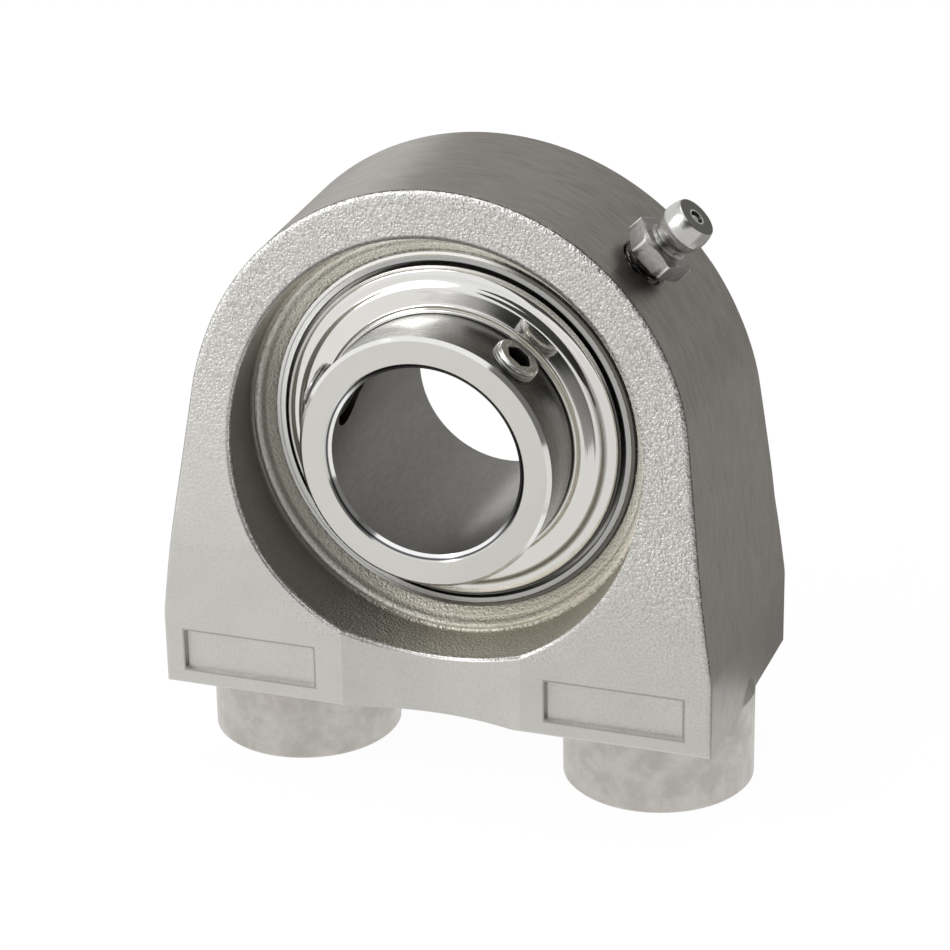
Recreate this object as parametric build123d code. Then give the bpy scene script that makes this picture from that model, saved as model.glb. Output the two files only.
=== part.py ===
from build123d import *
import math
import os

# Pillow block bearing: a cast block on two tapped feet, with a self-aligning ball insert.
# All sizes are in millimetres. X runs along the block, Y along the shaft, Z up.
# The setscrew side faces -Y. The origin lies on the mounting plane, midway between the feet.

# Block
hole_spacing = 50.8
foot_height = 12.7
foot_radius = 12.85
foot_chamfer = 0.3
foot_root = 5.0              # how far each foot's side fades up into the end face
foot_fade = 0.8              # how much narrower the foot is at the top of its root
end_inset = 0.4              # from the outside of each foot in to the end face
shaft_over_block = 36.5      # from the block's underside to the shaft axis
block_depth = 38.1
side_height = 10.3           # upright part of each end face
side_blend = 12.0            # rounding where the end face turns into the slope
hip_height = 21.3            # height over the underside where the slope eases
hip_inset = 1.5              # from the end face in to the slope at that height
hip_blend = 30.0
lean_start = 20.3            # height over the underside where the faces begin to lean in
lean_end = 11.3              # height over the shaft axis where the lean ends
front_waist = 14.8           # from the middle to the front face, where the lean ends
front_crown = 12.6           # from the middle to the front face, at the top of the arch
rear_waist = 12.5
rear_crown = 9.9
lean_blend = 60.0
hub_wall = 8.58              # from the spherical seat to the outside of the arch
arch_draft = 2.3             # degrees by which the arch narrows towards the front
front_round = 0.6
rear_round = 1.2

# Hollows of the block
seat_clearance = 0.02
seat_edge_inset = 0.5        # the seat stops this far inside the outer ring's faces
countersink_depth = 2.0
countersink_rise = 2.1       # how much wider the countersink is at its mouth than at the seat
ledge_width = 0.75
recess_draft = 4.0           # degrees
bead_round = 0.45
recess_root_round = 0.6
slot_clearance = 0.25        # around the outer ring, in the two loading slots
scoop_width = 24.7
scoop_depth = 2.1
plaque_length = 18.6
plaque_height = 5.7
plaque_depth = 0.6
plaque_slope = 25.0          # degrees by which a panel's walls open outward
plaque_centres = (-25.65, 24.9)
plaque_rise = 2.25
plaque_round = 0.4
tap_radius = 3.97
tap_depth = 15.9
tap_mouth = 0.45
drill_point = 59.0           # half angle of a drill's point, degrees

# Balls and rings
bore_diameter = 25.4
bore_chamfer = 0.8
inner_ring_diameter = 34.0
inner_ring_chamfer = 0.5
ball_diameter = 7.938
ball_count = 9
inner_land_drop = 2.5        # from the ball circle down to the inner ring's outside
outer_land_rise = 2.7        # from the ball circle up to the outer ring's inside
outer_race_wall = 2.531      # from the bottom of the outer race to the spherical outside
race_conformity = 0.52       # race radius over ball diameter
race_clearance = 0.02
outer_ring_width = 17.0
outer_ring_chamfer = 0.4

# Ribbon cage
cage_sheet = 0.6
pocket_clearance = 0.08
cage_half_width = 1.75       # half the radial width of the ribbon
rivet_radius = 0.6
rivet_clearance = 0.02
rivet_head_radius = 1.05
rivet_head_height = 0.45

# Seals and slingers
seal_pocket_depth = 2.9      # from the outer ring's face in to the seal
shield_sheet = 0.5
shield_rim = 1.3             # height of the rim pressed into the outer ring
shield_step = 1.08           # from the outer ring's inside up to the seal's seat
shield_fit = 0.01
shield_hole_gap = 1.3        # from the inner ring to the shield's hole
lip_gap = 0.06               # running gap between the rubber lip and the inner ring
lip_depth = 1.2
lip_tip = 0.5
lip_bond_width = 2.9
flinger_gap = 0.35           # from the lip to the slinger's sleeve
flinger_sheet = 0.5
flinger_fit = 0.01
flinger_rim_gap = 0.58       # from the outer ring's seal seat to the slinger's edge
flinger_sleeve = 3.2
flinger_hub = 0.58           # sheet of the sleeve
flinger_lip = 0.9            # how far the sleeve stands out of the slinger's face
flinger_root_round = 0.3
flinger_step_width = 0.6
flinger_step_drop = 0.45
flinger_skirt = 1.6          # width of the sloping outer band
flinger_skirt_drop = 0.65

# Setscrews
setscrew_radius = 3.175
setscrew_fit = 0.05
setscrew_clear = 0.725       # from the slinger's sleeve to the screw
setscrew_edge = 5.0          # from the screw's centre to the inner ring's front face
rear_land = 3.4              # from the rear slinger to the inner ring's rear face
setscrew_angle = 51.0        # degrees from +X towards +Z
setscrew_spread = 105.0
setscrew_stand = 1.1         # how far a backed-off screw stands out of the ring
setscrew_lift = 0.5          # how far its point lies outside the bore
setscrew_chamfer = 0.35
setscrew_point = 0.7
key_width = 3.175
key_depth = 2.4

# Grease fitting
grease_angle = 44.7
grease_groove_width = 2.2
grease_groove_depth = 0.6
grease_port_radius = 0.8
grease_passage_radius = 1.5
nipple_thread_radius = 3.1
nipple_fit = 0.03
nipple_tap_depth = 5.4
nipple_mouth = 0.6
nipple_shank = 4.8
nipple_stand = 1.25          # from the arch to the underside of the hexagon
hexagon_width = 7.94
hexagon_height = 2.9
hexagon_crown = 3.75         # radius of the hexagon's flat top
hexagon_slope = 30.0         # degrees
neck_radius = 2.25
neck_cone = 0.25
neck_length = 0.1
head_flare = 2.2
head_radius = 3.25
head_band = 0.5
head_nose = 2.1
nose_radius = 2.75
nose_bulge = 0.15
nozzle_mouth_radius = 0.85
nozzle_mouth_depth = 0.5
check_ball_radius = 1.1
check_bore_fit = 0.06
check_ball_gap = 0.02
spring_wire = 0.13
spring_inset = 0.25          # from the check ball's radius in to the coil's radius
spring_turns = 5
spring_gap = 0.03
crimp_height = 0.5
crimp_radius = 0.6

# Worked out from the sizes above
block_half_length = hole_spacing / 2 + foot_radius - end_inset
shaft_height = foot_height + shaft_over_block
ball_radius = ball_diameter / 2
bore_radius = bore_diameter / 2
inner_land = inner_ring_diameter / 2
ball_circle = inner_land + inner_land_drop
outer_land = ball_circle + outer_land_rise
race_radius = race_conformity * ball_diameter
inner_race_bottom = ball_circle - ball_radius - race_clearance
outer_race_bottom = ball_circle + ball_radius + race_clearance
sphere_radius = ball_circle + ball_radius + outer_race_wall
outer_ring_half = outer_ring_width / 2
seal_seat = outer_land + shield_step
seat_radius = sphere_radius + seat_clearance
arch_radius = sphere_radius + hub_wall
pocket_radius = ball_radius + pocket_clearance
cage_reach = pocket_radius + cage_sheet
cage_inside = ball_circle - cage_half_width
cage_outside = ball_circle + cage_half_width
shield_back = outer_ring_half - seal_pocket_depth
shield_front = shield_back + shield_sheet
lip_front = shield_front + lip_depth
sleeve_start = lip_front + flinger_gap
sleeve_end = sleeve_start + flinger_sleeve
flinger_face = sleeve_end - flinger_lip
flinger_edge = seal_seat - flinger_rim_gap
setscrew_place = sleeve_end + setscrew_clear + setscrew_radius
inner_ring_front = setscrew_place + setscrew_edge
inner_ring_rear = sleeve_end + rear_land
seat_half = outer_ring_half - seat_edge_inset
seat_edge = math.sqrt(seat_radius**2 - seat_half**2)
recess_floor = seat_half + countersink_depth
recess_floor_radius = seat_edge + countersink_rise + ledge_width
race_half_width = math.sqrt(race_radius**2 - (race_radius - outer_race_bottom + outer_land) ** 2)
grease_place = (race_half_width + shield_back) / 2
pitch_angle = 360 / ball_count
beyond = 2 * arch_radius     # a length that reaches past the whole block

shaft_axis = Axis((0, 0, shaft_height), (0, 1, 0))
section = Plane(origin=(0, 0, shaft_height), x_dir=(0, 1, 0), z_dir=(1, 0, 0))
parts = {}


def turned(corners, rounds=0.0):
    """Solid turned about the shaft, from (distance along Y, radius) corners."""
    line = FilletPolyline(*corners, radius=rounds, close=True)
    return revolve(section * make_face(line), axis=shaft_axis)


def tube(start, end, inside, outside):
    """Plain ring about the shaft."""
    return turned([(start, inside), (end, inside), (end, outside), (start, outside)])


def disc(start, end, radius):
    """Plain cylinder about the shaft."""
    place = Plane(origin=(0, start, shaft_height), x_dir=(1, 0, 0), z_dir=(0, 1, 0))
    return place.location * Cylinder(radius, end - start, align=(Align.CENTER, Align.CENTER, Align.MIN))


def mirrored(corners, side):
    """Section corners for one side of the insert: -1 is the setscrew side, 1 the plain side."""
    return [(side * along, radius) for along, radius in corners]


def radial(angle, along):
    """Place whose Z points away from the shaft at an angle from +X, at a distance along Y."""
    outward = (math.cos(math.radians(angle)), 0, math.sin(math.radians(angle)))
    return Plane(origin=(0, along, shaft_height), x_dir=(0, 1, 0), z_dir=outward).location


def rod(radius, start, end):
    """Cylinder along local Z from one height to another."""
    return Pos(0, 0, start) * Cylinder(radius, end - start, align=(Align.CENTER, Align.CENTER, Align.MIN))


def lathe(corners):
    """Solid turned about local Z, from (radius, height) corners."""
    return revolve(Plane.XZ * make_face(Polyline(*corners, close=True)), axis=Axis.Z)


def front_outline(radius):
    """Front view of the block: upright ends, sloping sides and an arch of the given radius."""
    side_top = foot_height + side_height
    hip_top = foot_height + hip_height
    hip_half_length = block_half_length - hip_inset
    drop = hip_top - shaft_height
    reach = math.hypot(hip_half_length, drop)
    turn = math.atan2(drop, hip_half_length) + math.acos(radius / reach)
    touch_x = radius * math.cos(turn)
    touch_z = shaft_height + radius * math.sin(turn)
    crown = (0, shaft_height + radius)
    sides = Polyline(
        (-touch_x, touch_z),
        (-hip_half_length, hip_top),
        (-block_half_length, side_top),
        (-block_half_length, foot_height),
        (block_half_length, foot_height),
        (block_half_length, side_top),
        (hip_half_length, hip_top),
        (touch_x, touch_z),
    )
    arch = ThreePointArc((touch_x, touch_z), crown, (-touch_x, touch_z))
    face = make_face([*sides.edges(), arch])
    for height, blend in ((side_top, side_blend), (hip_top, hip_blend)):
        face = fillet([corner for corner in face.vertices() if abs(corner.Y - height) < 0.01], blend)
    return face


def side_outline():
    """End view of the block: an upright base, faces that lean in, and a slim crown."""
    waist_height = shaft_height + lean_end
    crown_height = shaft_height + arch_radius + hub_wall
    corners = [
        (block_depth / 2, foot_height),
        (block_depth / 2, foot_height + lean_start),
        (rear_waist, waist_height),
        (rear_crown, crown_height),
        (-front_crown, crown_height),
        (-front_waist, waist_height),
        (-block_depth / 2, foot_height + lean_start),
        (-block_depth / 2, foot_height),
    ]
    bends = [0, lean_blend, lean_blend, 0]
    return make_face(FilletPolyline(*corners, radius=bends + bends, close=True))


def on_rim(edge):
    """True for the edges around the block's front and rear faces, which are rounded."""
    along = edge.tangent_at(0.5)
    across = abs(along.Y) > 0.9
    kink = abs(along.X) > 0.99 and edge.center().Z > foot_height + 0.1 and edge.geom_type == GeomType.LINE
    return not across and not kink


def cast_block():
    outlines = []
    for along in (-block_depth / 2, block_depth / 2):
        radius = arch_radius + along * math.tan(math.radians(arch_draft))
        outlines.append(Plane.XZ.offset(-along) * front_outline(radius))
    side = extrude(Plane.YZ * side_outline(), amount=2 * block_half_length, both=True)
    block = loft(outlines, ruled=True) & side
    rim = [edge for edge in block.edges() if on_rim(edge)]
    block = fillet([edge for edge in rim if edge.center().Y > 0], rear_round)
    rim = [edge for edge in block.edges() if on_rim(edge) and edge.center().Y < -rear_round]
    block = fillet(rim, front_round)
    foot = lathe([
        (0, 0),
        (foot_radius - foot_chamfer, 0),
        (foot_radius, foot_chamfer),
        (foot_radius, foot_height),
        (foot_radius - foot_fade, foot_height + foot_root),
        (0, foot_height + foot_root),
    ])
    for end in (-1, 1):
        block += Pos(end * hole_spacing / 2, 0, 0) * foot
    return block


def recess(side):
    """Turned hollow between the block's face and the spherical seat."""
    mouth = block_depth
    mouth_radius = recess_floor_radius + (mouth - recess_floor) * math.tan(math.radians(recess_draft))
    corners = [
        (0, 0),
        (mouth, 0),
        (mouth, mouth_radius),
        (recess_floor, recess_floor_radius),
        (recess_floor, seat_edge + countersink_rise),
        (seat_half, seat_edge),
        (0, seat_edge),
    ]
    rounds = [0, 0, 0, recess_root_round, bead_round, 0, 0]
    return turned(mirrored(corners, side), rounds)


def loading_slots():
    """The insert goes in edge-on from the plain side, through two slots, and is then turned."""
    width = outer_ring_width + 2 * slot_clearance
    slab = Pos(0, 0, shaft_height) * Box(beyond, beyond, width)
    return disc(0, recess_floor, seat_radius + slot_clearance) & slab


def tapped_hole():
    tip = tap_radius / math.tan(math.radians(drill_point))
    corners = [
        (0, -tap_mouth),
        (tap_radius + 2 * tap_mouth, -tap_mouth),
        (tap_radius, tap_mouth),
        (tap_radius, tap_depth),
        (0, tap_depth + tip),
    ]
    return lathe(corners)


def scoop(side):
    """Shallow upright hollow between the two pads of one face."""
    radius = (scoop_width**2 / 4 + scoop_depth**2) / (2 * scoop_depth)
    place = Pos(0, side * (block_depth / 2 - scoop_depth + radius), 0)
    return place * rod(radius, 0, shaft_height)


def plaque(centre):
    """Shallow bare panel on a pad of the front face, with walls that open outward."""
    height = foot_height + plaque_rise + plaque_height / 2
    panel = RectangleRounded(plaque_length, plaque_height, plaque_round)
    face = Plane(origin=(centre, -block_depth / 2, height), x_dir=(1, 0, 0), z_dir=(0, 1, 0))
    return extrude(face * panel, amount=plaque_depth, taper=plaque_slope)


def grease_hole():
    """Tapped mouth in the arch, and the passage down to the seat."""
    corners = [
        (0, seat_edge),
        (grease_passage_radius, seat_edge),
        (grease_passage_radius, arch_radius - nipple_tap_depth),
        (nipple_thread_radius + nipple_fit, arch_radius - nipple_tap_depth),
        (nipple_thread_radius + nipple_fit, arch_radius - nipple_mouth),
        (nipple_thread_radius + 2 * nipple_mouth, arch_radius + nipple_mouth / 2),
        (0, arch_radius + nipple_mouth / 2),
    ]
    return radial(grease_angle, -grease_place) * lathe(corners)


def housing():
    block = cast_block()
    for side in (-1, 1):
        block -= recess(side)
        block -= scoop(side)
    block -= Pos(0, 0, shaft_height) * Sphere(seat_radius)
    block -= loading_slots()
    for end in (-1, 1):
        block -= Pos(end * hole_spacing / 2, 0, 0) * tapped_hole()
    for centre in plaque_centres:
        block -= plaque(centre)
    return block - grease_hole()


def race(bottom, towards_shaft):
    """Ball groove, turned about the shaft."""
    centre = bottom + race_radius if towards_shaft else bottom - race_radius
    return revolve(section * Pos(0, centre) * Circle(race_radius), axis=shaft_axis)


def outer_ring():
    corners = [
        (-outer_ring_half, outer_land),
        (outer_ring_half, outer_land),
        (outer_ring_half, sphere_radius),
        (-outer_ring_half, sphere_radius),
    ]
    ring = turned(corners) & (Pos(0, 0, shaft_height) * Sphere(sphere_radius))
    ring = chamfer(ring.edges().filter_by(GeomType.CIRCLE).sort_by(SortBy.RADIUS)[-2:], outer_ring_chamfer)
    for side in (-1, 1):
        near, far = sorted((side * shield_back, side * outer_ring_width))
        ring -= tube(near, far, inner_land, seal_seat)
    ring -= race(outer_race_bottom, False)
    groove_floor = sphere_radius - grease_groove_depth
    half = grease_groove_width / 2
    ring -= tube(-grease_place - half, -grease_place + half, groove_floor, arch_radius)
    port = rod(grease_port_radius, ball_circle, sphere_radius)
    return ring - radial(grease_angle, -grease_place) * port


def inner_ring():
    corners = [
        (-inner_ring_front, bore_radius + bore_chamfer),
        (-inner_ring_front + bore_chamfer, bore_radius),
        (inner_ring_rear - bore_chamfer, bore_radius),
        (inner_ring_rear, bore_radius + bore_chamfer),
        (inner_ring_rear, inner_land - inner_ring_chamfer),
        (inner_ring_rear - inner_ring_chamfer, inner_land),
        (-inner_ring_front + inner_ring_chamfer, inner_land),
        (-inner_ring_front, inner_land - inner_ring_chamfer),
    ]
    ring = turned(corners) - race(inner_race_bottom, True)
    for number in range(2):
        place = radial(setscrew_angle + number * setscrew_spread, -setscrew_place)
        ring -= place * rod(setscrew_radius, 0, ball_circle)
    return ring


def ball_place(number):
    return radial(90 + number * pitch_angle, 0) * Pos(0, 0, ball_circle)


def web_place(number):
    return radial(90 + (number + 0.5) * pitch_angle, 0) * Pos(0, 0, ball_circle)


def cage_front():
    """One pressed ribbon: flat webs, and a round pocket over each ball."""
    reach = tube(-cage_reach, 0, cage_inside, cage_outside)
    ribbon = tube(-cage_sheet, 0, cage_inside, cage_outside)
    for number in range(ball_count):
        ribbon += reach & (ball_place(number) * Sphere(pocket_radius + cage_sheet))
    for number in range(ball_count):
        ribbon -= ball_place(number) * Sphere(pocket_radius)
        ribbon -= web_place(number) * rivet_shank(rivet_radius + rivet_clearance)
    return ribbon


def rivet_shank(radius):
    """Pin along the shaft's direction, through both webs."""
    length = 2 * (cage_sheet + rivet_head_height / 2)
    return Rot(0, 90, 0) * Cylinder(radius, length)


def rivet():
    """Pin with a flat, rounded head on each side of the joined webs."""
    pin = rivet_shank(rivet_radius)
    for side in (-1, 1):
        head = Cylinder(rivet_head_radius, rivet_head_height)
        head = fillet(head.edges().group_by(Axis.Z)[-1], rivet_head_height / 2)
        pin += Rot(0, side * 90, 0) * Pos(0, 0, cage_sheet + rivet_head_height / 2) * head
    return pin


def seal_shield(side):
    """Pressed carrier of the seal: a flat ring with a rim that grips the outer ring."""
    hole = inner_land + shield_hole_gap
    rim = seal_seat - shield_fit
    corners = [
        (shield_back, hole),
        (shield_back, rim),
        (shield_back + shield_rim, rim),
        (shield_back + shield_rim, rim - shield_sheet),
        (shield_front, rim - shield_sheet),
        (shield_front, hole),
    ]
    return turned(mirrored(corners, side))


def seal_lip(side):
    """Rubber ring bonded to the carrier, with a lip that runs close to the inner ring."""
    hole = inner_land + shield_hole_gap
    lip = inner_land + lip_gap
    corners = [
        (shield_front, hole + lip_bond_width),
        (shield_front, hole),
        (lip_front - 2 * lip_tip, lip),
        (lip_front - lip_tip, lip),
        (lip_front, hole),
        (shield_front + lip_tip, hole + lip_bond_width),
    ]
    return turned(mirrored(corners, side))


def flinger(side):
    """Slinger: a sleeve on the inner ring, a flat face, a small step and a sloping skirt."""
    bore = inner_land + flinger_fit
    hub = bore + flinger_hub
    skirt = flinger_edge - flinger_skirt
    step = skirt - flinger_step_width
    low = flinger_face - flinger_step_drop
    edge = low - flinger_skirt_drop
    corners = [
        (sleeve_start, bore),
        (sleeve_end, bore),
        (sleeve_end, hub),
        (flinger_face, hub),
        (flinger_face, step),
        (low, skirt),
        (edge, flinger_edge),
        (edge - flinger_sheet, flinger_edge - flinger_sheet / 2),
        (low - flinger_sheet, skirt - flinger_sheet / 2),
        (flinger_face - flinger_sheet, step - flinger_sheet / 2),
        (flinger_face - flinger_sheet, hub),
        (sleeve_start, hub),
    ]
    bend = flinger_root_round
    rounds = [0, 0, bend / 2, bend, bend / 2, bend / 2, 0, 0, 0, 0, 0, 0]
    return turned(mirrored(corners, side), rounds)


def setscrew(number):
    """Socket setscrew with a cup point, backed off so that the bore is free."""
    point = bore_radius + setscrew_lift
    top = inner_land + setscrew_stand
    radius = setscrew_radius - setscrew_fit
    corners = [
        (0, point + setscrew_point),
        (radius - 2 * setscrew_point, point),
        (radius - setscrew_point, point),
        (radius, point + setscrew_point),
        (radius, top - setscrew_chamfer),
        (radius - setscrew_chamfer, top),
        (0, top),
    ]
    socket = extrude(RegularPolygon(key_width / 2, 6, major_radius=False), amount=key_depth)
    screw = lathe(corners) - Pos(0, 0, top - key_depth) * socket
    return radial(setscrew_angle + number * setscrew_spread, -setscrew_place) * screw


def hexagon(low, high):
    """Hexagon across flats, with its upper corners turned off."""
    reach = hexagon_width
    fall = (reach - hexagon_crown) * math.tan(math.radians(hexagon_slope))
    six_sides = RegularPolygon(hexagon_width / 2, 6, major_radius=False)
    blank = Pos(0, 0, low) * extrude(six_sides, amount=high - low)
    return blank & lathe([(0, low), (reach, low), (reach, high - fall), (hexagon_crown, high), (0, high)])


def nipple_heights():
    """Distances from the shaft axis to the levels of the grease fitting, from its shank up."""
    seat = arch_radius + nipple_stand
    levels = {"shank": seat - nipple_shank, "seat": seat}
    level = seat
    for name, rise in (
        ("hexagon", hexagon_height),
        ("cone", neck_cone),
        ("neck", neck_length),
        ("flare", head_flare),
        ("band", head_band),
        ("tip", head_nose),
    ):
        level += rise
        levels[name] = level
    return levels


def ball_seat_height():
    """Distance from the shaft axis to the centre of the closed check ball."""
    depth = math.sqrt(check_ball_radius**2 - nozzle_mouth_radius**2)
    return nipple_heights()["tip"] - nozzle_mouth_depth - depth - check_ball_gap


def grease_fitting():
    """Hexagon nipple with a threaded shank, a waisted neck and a round head, bored for its ball."""
    at = nipple_heights()
    lower = Polyline(
        (0, at["shank"]),
        (nipple_thread_radius, at["shank"]),
        (nipple_thread_radius, at["hexagon"]),
        (neck_radius + neck_cone, at["hexagon"]),
        (neck_radius, at["cone"]),
        (neck_radius, at["neck"]),
        (head_radius, at["flare"]),
        (head_radius, at["band"]),
    )
    middle = ((head_radius + nose_radius) / 2 + nose_bulge, (at["band"] + at["tip"]) / 2)
    nose = ThreePointArc((head_radius, at["band"]), middle, (nose_radius, at["tip"]))
    close = Polyline((nose_radius, at["tip"]), (0, at["tip"]), (0, at["shank"]))
    outline = make_face([*lower.edges(), nose, *close.edges()])
    body = revolve(Plane.XZ * outline, axis=Axis.Z) + hexagon(at["seat"], at["hexagon"])
    bore = check_ball_radius + check_bore_fit
    beyond_shank = at["shank"] - crimp_height
    beyond_tip = at["tip"] + nozzle_mouth_depth
    hollow = [
        (0, beyond_shank),
        (crimp_radius, beyond_shank),
        (crimp_radius, at["shank"] + crimp_height),
        (bore, at["shank"] + crimp_height),
        (bore, at["tip"] - nozzle_mouth_depth),
        (nozzle_mouth_radius, at["tip"] - nozzle_mouth_depth),
        (nozzle_mouth_radius, beyond_tip),
        (0, beyond_tip),
    ]
    return radial(grease_angle, -grease_place) * (body - lathe(hollow))


def check_ball():
    return radial(grease_angle, -grease_place) * Pos(0, 0, ball_seat_height()) * Sphere(check_ball_radius)


def check_spring():
    """Coil that presses the check ball outward, resting on the fitting's crimped end."""
    coil = check_ball_radius - spring_inset
    low = nipple_heights()["shank"] + crimp_height + spring_wire + spring_gap
    drop = math.sqrt((check_ball_radius + spring_wire) ** 2 - coil**2)
    high = ball_seat_height() - drop - spring_gap
    helix = Helix(pitch=(high - low) / spring_turns, height=high - low, radius=coil, center=(0, 0, low))
    start = Plane(origin=helix @ 0, z_dir=helix % 0)
    wire = sweep(start * Circle(spring_wire), path=helix, is_frenet=True)
    return radial(grease_angle, -grease_place) * wire


parts["housing"] = housing()
parts["outer_ring"] = outer_ring()
parts["inner_ring"] = inner_ring()
for number in range(ball_count):
    parts[f"ball_{number + 1}"] = ball_place(number) * Sphere(ball_radius)
parts["cage_front"] = cage_front()
parts["cage_rear"] = mirror(parts["cage_front"], about=Plane.XZ)
parts["cage_rivets"] = Compound([web_place(number) * rivet() for number in range(ball_count)])
for name, side in (("front", -1), ("rear", 1)):
    parts[f"seal_shield_{name}"] = seal_shield(side)
    parts[f"seal_lip_{name}"] = seal_lip(side)
    parts[f"flinger_{name}"] = flinger(side)
for number in range(2):
    parts[f"setscrew_{number + 1}"] = setscrew(number)
parts["grease_fitting"] = grease_fitting()
parts["grease_check_ball"] = check_ball()
parts["grease_check_spring"] = check_spring()

os.makedirs("parts", exist_ok=True)
for name, solid in parts.items():
    export_step(solid, f"parts/{name}.step")
    print(name, len(solid.solids()), round(solid.volume, 1))
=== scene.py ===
import math
from types import SimpleNamespace

import bmesh
import bpy
from mathutils import Matrix, Vector


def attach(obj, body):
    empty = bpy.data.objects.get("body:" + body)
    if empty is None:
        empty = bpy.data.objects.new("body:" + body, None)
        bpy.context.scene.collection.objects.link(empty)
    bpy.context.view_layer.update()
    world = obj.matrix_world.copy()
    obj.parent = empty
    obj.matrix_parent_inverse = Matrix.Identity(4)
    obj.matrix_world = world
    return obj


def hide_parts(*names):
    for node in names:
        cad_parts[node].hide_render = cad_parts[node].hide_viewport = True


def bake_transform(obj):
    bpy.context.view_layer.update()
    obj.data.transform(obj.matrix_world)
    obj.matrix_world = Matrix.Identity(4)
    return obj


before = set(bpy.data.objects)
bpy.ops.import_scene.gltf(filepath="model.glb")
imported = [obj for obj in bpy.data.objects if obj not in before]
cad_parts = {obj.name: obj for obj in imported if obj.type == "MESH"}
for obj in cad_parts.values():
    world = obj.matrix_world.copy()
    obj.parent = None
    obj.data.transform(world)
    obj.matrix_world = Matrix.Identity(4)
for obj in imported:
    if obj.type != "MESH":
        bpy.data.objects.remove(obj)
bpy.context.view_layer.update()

# Sizes are in millimetres, angles in degrees. X runs along the block, Y along the shaft, Z up.
MM = 0.001
SHAFT_RISE = 49.2            # from the mounting plane up to the shaft's axis
PHOTO_WIDTH = 950            # pixels

SCREW_ALONG = -14.749        # place of the setscrews along the shaft
SCREW_ANGLES = {1: 51, 2: 156}
SCREW_TOP = 18.1             # from the shaft's axis out to the top of a setscrew
SCREW_BEVEL = 0.30

FITTING_ANGLE = 44.7
FITTING_ALONG = -4.298
FITTING_SEAT = 35.83         # from the shaft's axis out to the underside of the hexagon
FITTING_TIP = 43.88

WHITE = (1, 1, 1, 1)


# Building finishes
class Flow:
    """A socket in a finish. Arithmetic on it adds the maths that it stands for."""

    def __init__(self, finish, socket):
        self.finish = finish
        self.socket = socket

    def maths(self, operation, *others):
        inputs = {0: self, **dict(enumerate(others, 1))}
        return self.finish.add("ShaderNodeMath", {"operation": operation}, inputs)

    def __add__(self, other):
        return self.maths("ADD", other)

    __radd__ = __add__

    def __mul__(self, other):
        return self.maths("MULTIPLY", other)

    __rmul__ = __mul__

    def __sub__(self, other):
        return self.maths("SUBTRACT", other)

    def __rsub__(self, other):
        return self.maths("MULTIPLY", -1.0) + other

    def __truediv__(self, other):
        return self.maths("DIVIDE", other)

    def __pow__(self, other):
        return self.maths("POWER", other)

    def __lt__(self, other):
        return self.maths("LESS_THAN", other)

    def __gt__(self, other):
        return self.maths("GREATER_THAN", other)

    def __abs__(self):
        return self.maths("ABSOLUTE")


class Finish:
    """One material: its node tree, and the few things that all of them share."""

    def __init__(self, name):
        self.material = bpy.data.materials.new(name)
        self.material.use_nodes = True
        self.nodes = self.material.node_tree.nodes
        self.links = self.material.node_tree.links
        self.nodes.clear()
        self.place = self.add("ShaderNodeTexCoord", out="Object")

    def add(self, kind, settings=None, inputs=None, out=0):
        """Any node: its settings first, then its sockets' values or links."""
        node = self.nodes.new(kind)
        for name, value in (settings or {}).items():
            setattr(node, name, value)
        for name, value in (inputs or {}).items():
            socket = node.inputs[name]
            if isinstance(value, Flow):
                self.links.new(value.socket, socket)
            else:
                socket.default_value = value
        return Flow(self, node.outputs[out]) if len(node.outputs) else None

    def scaled(self, vector, factors):
        inputs = {0: vector, 1: factors}
        return self.add("ShaderNodeVectorMath", {"operation": "MULTIPLY"}, inputs)

    def parts(self, vector):
        """The three numbers of a vector."""
        return [self.add("ShaderNodeSeparateXYZ", None, {0: vector}, axis) for axis in "XYZ"]

    def speckle(self, size, detail=2.0, roughness=0.5, stretch=(1, 1, 1)):
        """Smooth noise around 0.5, whose grains are about one size across."""
        inputs = {
            "Vector": self.scaled(self.place, stretch),
            "Scale": 1 / (size * MM),
            "Detail": detail,
            "Roughness": roughness,
        }
        return self.add("ShaderNodeTexNoise", None, inputs)

    def flat_speckle(self, first, second, size, detail):
        """Smooth noise that changes with two numbers only, such as a radius and a height."""
        spot = self.add("ShaderNodeCombineXYZ", None, {0: first, 1: second})
        inputs = {"Vector": spot, "Scale": 1 / size, "Detail": detail}
        return self.add("ShaderNodeTexNoise", {"noise_dimensions": "2D"}, inputs)

    def smooth(self, value, low, high, to_low=0.0, to_high=1.0):
        """Soft step of a value from one level to another."""
        inputs = {
            "Value": value,
            "From Min": low,
            "From Max": high,
            "To Min": to_low,
            "To Max": to_high,
        }
        return self.add("ShaderNodeMapRange", {"interpolation_type": "SMOOTHSTEP"}, inputs)

    def blend(self, amount, first, second):
        """Mix of two colours."""
        colours = [
            colour if isinstance(colour, Flow) else (*colour, 1.0) for colour in (first, second)
        ]
        inputs = {0: amount, 6: colours[0], 7: colours[1]}
        return self.add("ShaderNodeMix", {"data_type": "RGBA"}, inputs, 2)

    def bump(self, height, depth, strength=1.0):
        """Relief of a given depth."""
        inputs = {"Height": height, "Distance": depth * MM, "Strength": strength}
        return self.add("ShaderNodeBump", None, inputs)

    def surface(self, **sockets):
        """The finish's own shader, joined to its output."""
        named = {name.replace("_", " ").title(): value for name, value in sockets.items()}
        shader = self.add("ShaderNodeBsdfPrincipled", None, named)
        self.add("ShaderNodeOutputMaterial", None, {"Surface": shader})
        return self.material


def from_mounting(finish):
    """The place on the object, in millimetres."""
    return finish.parts(finish.scaled(finish.place, (1 / MM, 1 / MM, 1 / MM)))


def around_shaft(finish):
    """Distance from the shaft's axis, and place along it."""
    x, y, z = from_mounting(finish)
    height = z - SHAFT_RISE
    return (x * x + height * height) ** 0.5, y


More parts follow.
